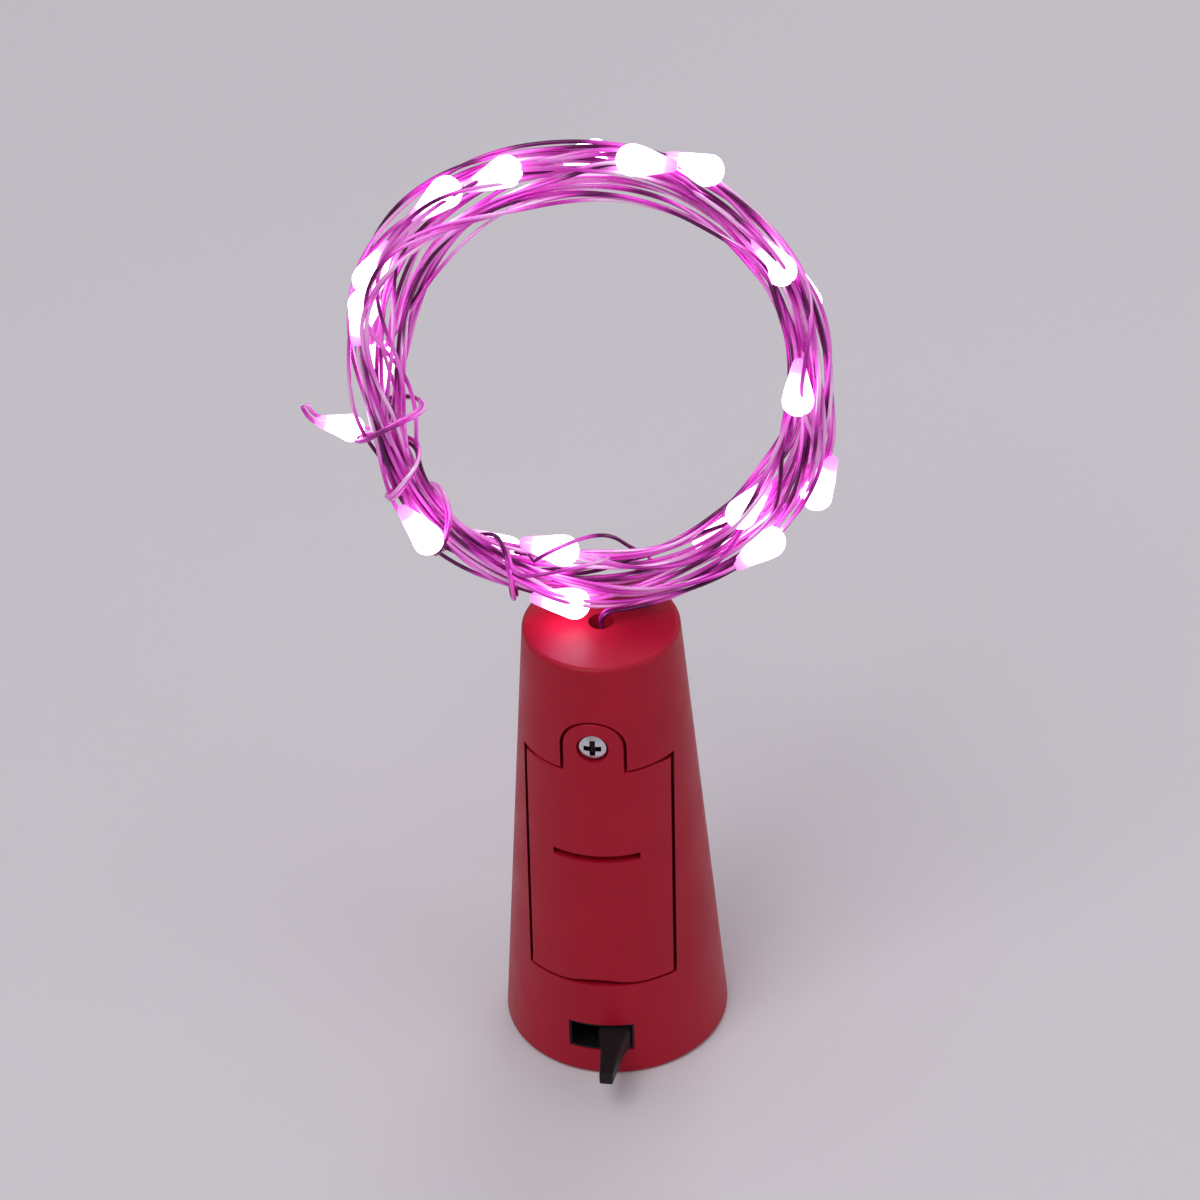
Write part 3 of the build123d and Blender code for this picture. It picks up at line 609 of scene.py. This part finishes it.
def drop_skin(index):
    """Vertices and faces of a slightly uneven drop about its own middle."""
    outline = drop_outline()
    lumps = Vector(lump_start + index * lump_step)
    vertices = [(0, 0, -drop_length / 2)]
    for radius, height in outline:
        for step in range(drop_sides):
            turn = 2 * pi * step / drop_sides
            place = Vector((radius * cos(turn), radius * sin(turn), height))
            swell = 1 + lump_share * noise.noise(place * lumps_per_metre + lumps)
            vertices.append((place.x * swell, place.y * swell, place.z))
    vertices.append((0, 0, drop_length / 2))
    faces = tube_faces(len(outline), drop_sides, 1)
    last = 1 + (len(outline) - 1) * drop_sides
    for step in range(drop_sides):
        after = (step + 1) % drop_sides
        faces.append((0, 1 + after, 1 + step))
        faces.append((last + step, last + after, len(vertices) - 1))
    return vertices, faces


def glow_values(vertices):
    """Strength of the chip's light at each vertex, from one at the chip to nothing at its reach."""
    chip_place = Vector((0, 0, -drop_length / 2 + drop_radius))
    return [max(0.0, 1 - (Vector(vertex) - chip_place).length / drop_glow_reach) for vertex in vertices]


def make_drop(index, material):
    """One drop of clear resin, a little uneven, with its light strongest round the chip."""
    name = f"resin_drop_{index + 1:02d}"
    vertices, faces = drop_skin(index)
    mesh = make_skin(name, vertices, faces, "chip_glow", glow_values(vertices), material)
    middle, axis = drop_frames[index]
    turn = Vector(axis).to_track_quat("Z", "Y").to_matrix().to_4x4()
    size = tail_drop_size if index == drop_count - 1 else 1.0
    mesh.transform(Matrix.Translation(middle) @ turn @ Matrix.Scale(size, 4))
    drop = add_object(name, mesh)
    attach(drop, cork_body_name)
    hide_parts(f"led_{index + 1:02d}")
    return drop


# Materials

class Finish:
    """A material of its own nodes, with helpers for the few kinds of node used here."""

    def __init__(self, name):
        self.name = name
        self.material = bpy.data.materials.new(f"{name}_finish")
        self.material.use_nodes = True
        self.tree = self.material.node_tree
        self.shader = next(node for node in self.tree.nodes if node.type == "BSDF_PRINCIPLED")
        self.coordinates = self.tree.nodes.new("ShaderNodeTexCoord").outputs["Object"]

    def set(self, **values):
        """Sets constant values on the shader's own sockets."""
        for name, value in values.items():
            self.shader.inputs[name.replace("_", " ")].default_value = value
        return self

    def link(self, output, socket):
        """Joins a node's output to a socket of the shader."""
        self.tree.links.new(output, self.shader.inputs[socket])

    def noise(self, size, detail=3.0, stretch=(1, 1, 1)):
        """Noise with features of about a size in metres."""
        mapping = self.tree.nodes.new("ShaderNodeMapping")
        mapping.inputs["Scale"].default_value = stretch
        self.tree.links.new(self.coordinates, mapping.inputs["Vector"])
        texture = self.tree.nodes.new("ShaderNodeTexNoise")
        texture.inputs["Scale"].default_value = 1 / size
        texture.inputs["Detail"].default_value = detail
        self.tree.links.new(mapping.outputs["Vector"], texture.inputs["Vector"])
        return texture.outputs["Fac"]

    def attribute(self, name):
        """A value that the mesh keeps at each vertex."""
        node = self.tree.nodes.new("ShaderNodeAttribute")
        node.attribute_name = name
        return node.outputs["Fac"]

    def ramp(self, value, stops):
        """Colours over a value: a list of (position, colour)."""
        node = self.tree.nodes.new("ShaderNodeValToRGB")
        node.color_ramp.elements[0].position = stops[0][0]
        node.color_ramp.elements[0].color = (*stops[0][1], 1)
        node.color_ramp.elements[1].position = stops[-1][0]
        node.color_ramp.elements[1].color = (*stops[-1][1], 1)
        for position, colour in stops[1:-1]:
            node.color_ramp.elements.new(position).color = (*colour, 1)
        self.tree.links.new(value, node.inputs["Fac"])
        return node.outputs["Color"]

    def mottle(self, value, dark, light):
        """Colours from dark to light over the middle of a noise."""
        return self.ramp(value, list(zip(noise_range, (dark, light))))

    def map_range(self, value, source, target=(0, 1)):
        """A value carried over from one range to another."""
        node = self.tree.nodes.new("ShaderNodeMapRange")
        for name, limit in zip(("From Min", "From Max", "To Min", "To Max"), (*source, *target)):
            node.inputs[name].default_value = limit
        self.tree.links.new(value, node.inputs["Value"])
        return node.outputs["Result"]

    def between(self, value, low, high):
        """Numbers from low to high over the middle of a noise."""
        return self.map_range(value, noise_range, (low, high))

    def bump(self, value, depth):
        """Relief of a depth in metres."""
        node = self.tree.nodes.new("ShaderNodeBump")
        node.inputs["Distance"].default_value = depth
        self.tree.links.new(value, node.inputs["Height"])
        self.link(node.outputs["Normal"], "Normal")


def moulded(name, dark, light, roughness, grain=plastic_grain, depth=plastic_relief):
    """Moulded plastic with a fine spark-eroded grain and slightly uneven colour and gloss."""
    finish = Finish(name)
    finish.link(finish.mottle(finish.noise(colour_patch), dark, light), "Base Color")
    gloss = finish.between(finish.noise(gloss_patch), roughness - gloss_spread, roughness + gloss_spread)
    finish.link(gloss, "Roughness")
    finish.bump(finish.noise(grain, plastic_grain_detail), depth)
    return finish


def plated(name, dark, light, roughness, stretch):
    """Plated or drawn metal with fine lines along one direction."""
    finish = Finish(name)
    finish.set(Metallic=1.0)
    lines = finish.noise(metal_line, metal_line_detail, stretch)
    finish.link(finish.mottle(lines, dark, light), "Base Color")
    gloss = finish.between(lines, roughness - metal_gloss_below, roughness + metal_gloss_above)
    finish.link(gloss, "Roughness")
    finish.bump(lines, metal_relief)
    return finish


def red_plastic():
    """Satin red shell and door."""
    dark, light = (0.365, 0.0045, 0.022), (0.405, 0.0055, 0.026)
    finish = moulded("red_plastic", dark, light, roughness=0.42)
    return finish.set(Coat_Weight=0.04, Coat_Roughness=0.3, Specular_IOR_Level=0.18)


def tray_plastic():
    """Darker red insert."""
    return moulded("tray_plastic", (0.24, 0.008, 0.02), (0.31, 0.011, 0.028), roughness=0.5)


def black_plastic():
    """Black lever and window."""
    dark, light = (0.005, 0.004, 0.005), (0.010, 0.008, 0.009)
    finish = moulded("black_plastic", dark, light, roughness=0.42)
    return finish.set(Coat_Weight=0.03, Coat_Roughness=0.25, Specular_IOR_Level=0.2)


def gasket():
    """Dull, dark grey rings of the cells."""
    return moulded("gasket", (0.05, 0.05, 0.06), (0.09, 0.09, 0.1), roughness=0.6)


def board():
    """Brown laminate."""
    return moulded("board", (0.16, 0.07, 0.025), (0.26, 0.12, 0.045), roughness=0.55)


def glue():
    """Milky bead of glue with a wavy skin."""
    dark, light = (0.66, 0.58, 0.42), (0.76, 0.69, 0.54)
    finish = moulded("glue", dark, light, roughness=0.28, grain=0.0012, depth=0.00006)
    return finish.set(Subsurface_Weight=0.3, Subsurface_Scale=0.0008)


def lead_red():
    """Red insulation."""
    return moulded("lead_red", (0.3, 0.012, 0.012), (0.4, 0.02, 0.02), roughness=0.42)


def lead_black():
    """Black insulation."""
    return moulded("lead_black", (0.012, 0.012, 0.012), (0.024, 0.024, 0.024), roughness=0.42)


def resistor_coat():
    """Beige lacquer with plain colour rings round the resistor's length."""
    finish = Finish("resistor_coat")
    split = finish.tree.nodes.new("ShaderNodeSeparateXYZ")
    finish.tree.links.new(finish.coordinates, split.inputs["Vector"])
    low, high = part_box("resistor_body")
    along = finish.map_range(split.outputs["X"], (low.x, high.x))
    beige = (0.56, 0.40, 0.2)
    brown = (0.14, 0.04, 0.012)
    black = (0.01, 0.01, 0.01)
    gold = (0.42, 0.26, 0.05)
    stops = [(0.0, beige), (0.18, brown), (0.28, beige), (0.38, black), (0.48, beige),
             (0.58, brown), (0.68, beige), (0.8, gold), (0.9, beige)]
    colours = finish.ramp(along, stops)
    colours.node.color_ramp.interpolation = "CONSTANT"
    finish.link(colours, "Base Color")
    finish.link(finish.between(finish.noise(size=0.0007), low=0.18, high=0.3), "Roughness")
    return finish


def screw_steel():
    """Bright plated steel, with painted shade in the cross and beside the head."""
    finish = plated("screw_steel", (0.58, 0.57, 0.62), (0.76, 0.75, 0.80), roughness=0.22, stretch=(1, 1, 1))
    bright = finish.shader.inputs["Base Color"].links[0].from_socket
    height = finish.tree.nodes.new("ShaderNodeVectorMath")
    height.operation = "DOT_PRODUCT"
    height.inputs[1].default_value = (0, -cos(screw_tilt), sin(screw_tilt))
    finish.tree.links.new(finish.coordinates, height.inputs[0])
    head_top = screw_surface * cos(screw_tilt) + screw_level * sin(screw_tilt) - screw_head_recess
    depth = finish.map_range(height.outputs["Value"], (head_top, head_top - screw_head_height))
    unshaded = (1, 1, 1)
    painted_recess_shade = (0.03, 0.025, 0.03)
    # Base colour multiplied dark over a band of depth below the head's top: painted shade in the cross and
    # in the gap beside the head.
    stops = [(0.36, unshaded), (0.46, painted_recess_shade), (0.86, painted_recess_shade), (0.96, unshaded)]
    shade = finish.tree.nodes.new("ShaderNodeMix")
    shade.data_type = "RGBA"
    shade.blend_type = "MULTIPLY"
    shade.inputs["Factor"].default_value = 1.0
    finish.tree.links.new(bright, shade.inputs["A"])
    finish.tree.links.new(finish.ramp(depth, stops), shade.inputs["B"])
    finish.link(shade.outputs["Result"], "Base Color")
    return finish


def spring_steel():
    """Rolled steel with a nickel plating."""
    return plated("spring_steel", (0.46, 0.46, 0.47), (0.6, 0.6, 0.61), roughness=0.3, stretch=(1, 6, 1))


def cell_steel():
    """Pale drawn steel of the cells."""
    return plated("cell_steel", (0.58, 0.58, 0.57), (0.66, 0.66, 0.65), roughness=0.24, stretch=(9, 9, 1))


def brass():
    """Rolled brass."""
    return plated("brass", (0.46, 0.3, 0.09), (0.62, 0.43, 0.15), roughness=0.28, stretch=(6, 1, 1))


def wire_finish():
    """Copper wire, its colour painted rose and magenta for the pink light of the lit drops; random stretches
    along its length are painted dark as shade and pale as highlights.
    """
    finish = Finish("wire")
    finish.set(Metallic=0.35, Coat_Weight=0.25, Coat_Roughness=0.08, Specular_IOR_Level=0.3)
    # Tone stops: the darkest is painted shade, the rose and magenta middle is painted pink light over
    # copper, the palest are painted highlights.
    stops = [(0.24, (0.12, 0.004, 0.09)), (0.40, (0.74, 0.045, 0.58)), (0.60, (1.0, 0.22, 0.86)),
             (0.84, (1.0, 0.66, 0.96))]
    finish.link(finish.ramp(finish.attribute("tone"), stops), "Base Color")
    finish.link(finish.between(finish.noise(size=0.002), low=0.14, high=0.28), "Roughness")
    finish.bump(finish.noise(size=0.0006), depth=0.00002)
    return finish


def resin():
    """Clear drop lit from inside: almost white round the chip, pink and violet away from it."""
    finish = Finish("resin")
    finish.set(Roughness=0.12, Coat_Weight=0.5, Coat_Roughness=0.05)
    finish.set(Subsurface_Weight=0.2, Subsurface_Scale=0.001)
    chip_glow = finish.attribute("chip_glow")
    # Base colour painted lighter near the chip as painted glow, on top of the drop's real emitted light.
    glow_painted_body = [(0.0, (0.5, 0.2, 0.5)), (0.6, (0.7, 0.5, 0.7))]
    finish.link(finish.ramp(chip_glow, glow_painted_body), "Base Color")
    light = [(0.0, (0.2, 0.03, 0.2)), (0.25, (0.34, 0.07, 0.32)), (0.45, (1.0, 0.4, 0.9)),
             (0.65, (1.0, 0.7, 1.0))]
    finish.link(finish.ramp(chip_glow, light), "Emission Color")
    finish.set(Emission_Strength=6.0)
    finish.bump(finish.noise(size=0.0012), depth=0.00003)
    return finish


def chip():
    """Lit chip in a drop."""
    finish = moulded("chip", (0.75, 0.62, 0.3), (0.9, 0.82, 0.5), roughness=0.4)
    return finish.set(Emission_Color=(1.0, 0.8, 0.95, 1), Emission_Strength=4.0)


makers = [red_plastic, tray_plastic, black_plastic, gasket, board, glue, lead_red, lead_black, resistor_coat,
          screw_steel, spring_steel, cell_steel, brass, wire_finish, resin, chip]
finishes = {made.name: made.material for made in (maker() for maker in makers)}


def dress_nodes():
    """Gives every carried-over node the full finish of the slot it came with."""
    for node in nodes.values():
        for place in node.material_slots:
            name = place.material.name.split(".")[0]
            place.material = finishes[name]


# Floor and light

def make_floor():
    """Pale floor under the stopper."""
    half = floor_half_width
    mesh = bpy.data.meshes.new("floor")
    corners = [(-half, -half, 0), (half, -half, 0), (half, half, 0), (-half, half, 0)]
    mesh.from_pydata(corners, [], [(0, 1, 2, 3)])
    finish = Finish("floor")
    finish.link(finish.mottle(finish.noise(floor_patch), floor_dark, floor_light), "Base Color")
    finish.set(Roughness=0.6)
    mesh.materials.append(finish.material)
    floor = add_object("floor", mesh)


def make_studio():
    """Even light from all round."""
    world = bpy.data.worlds.new("studio")
    bpy.context.scene.world = world
    world.use_nodes = True
    background = world.node_tree.nodes["Background"]
    background.inputs["Color"].default_value = (*studio_colour, 1)
    background.inputs["Strength"].default_value = studio_strength


def make_lamps():
    """Soft square lamps that face the stopper."""
    for name, place, width, power in lamps:
        data = bpy.data.lights.new(name, "AREA")
        data.size = width
        data.energy = power
        lamp = add_object(name, data)
        lamp.location = place
        away = Vector(lamp_target) - Vector(place)
        lamp.rotation_euler = away.to_track_quat("-Z", "Y").to_euler()


make_camera()
route = smooth_route(string_points())
string = make_string(route, finishes["wire"])
drops = [make_drop(index, finishes["resin"]) for index in range(drop_count)]
dress_nodes()
make_floor()
make_studio()
make_lamps()
bpy.context.scene.view_settings.view_transform = "Standard"
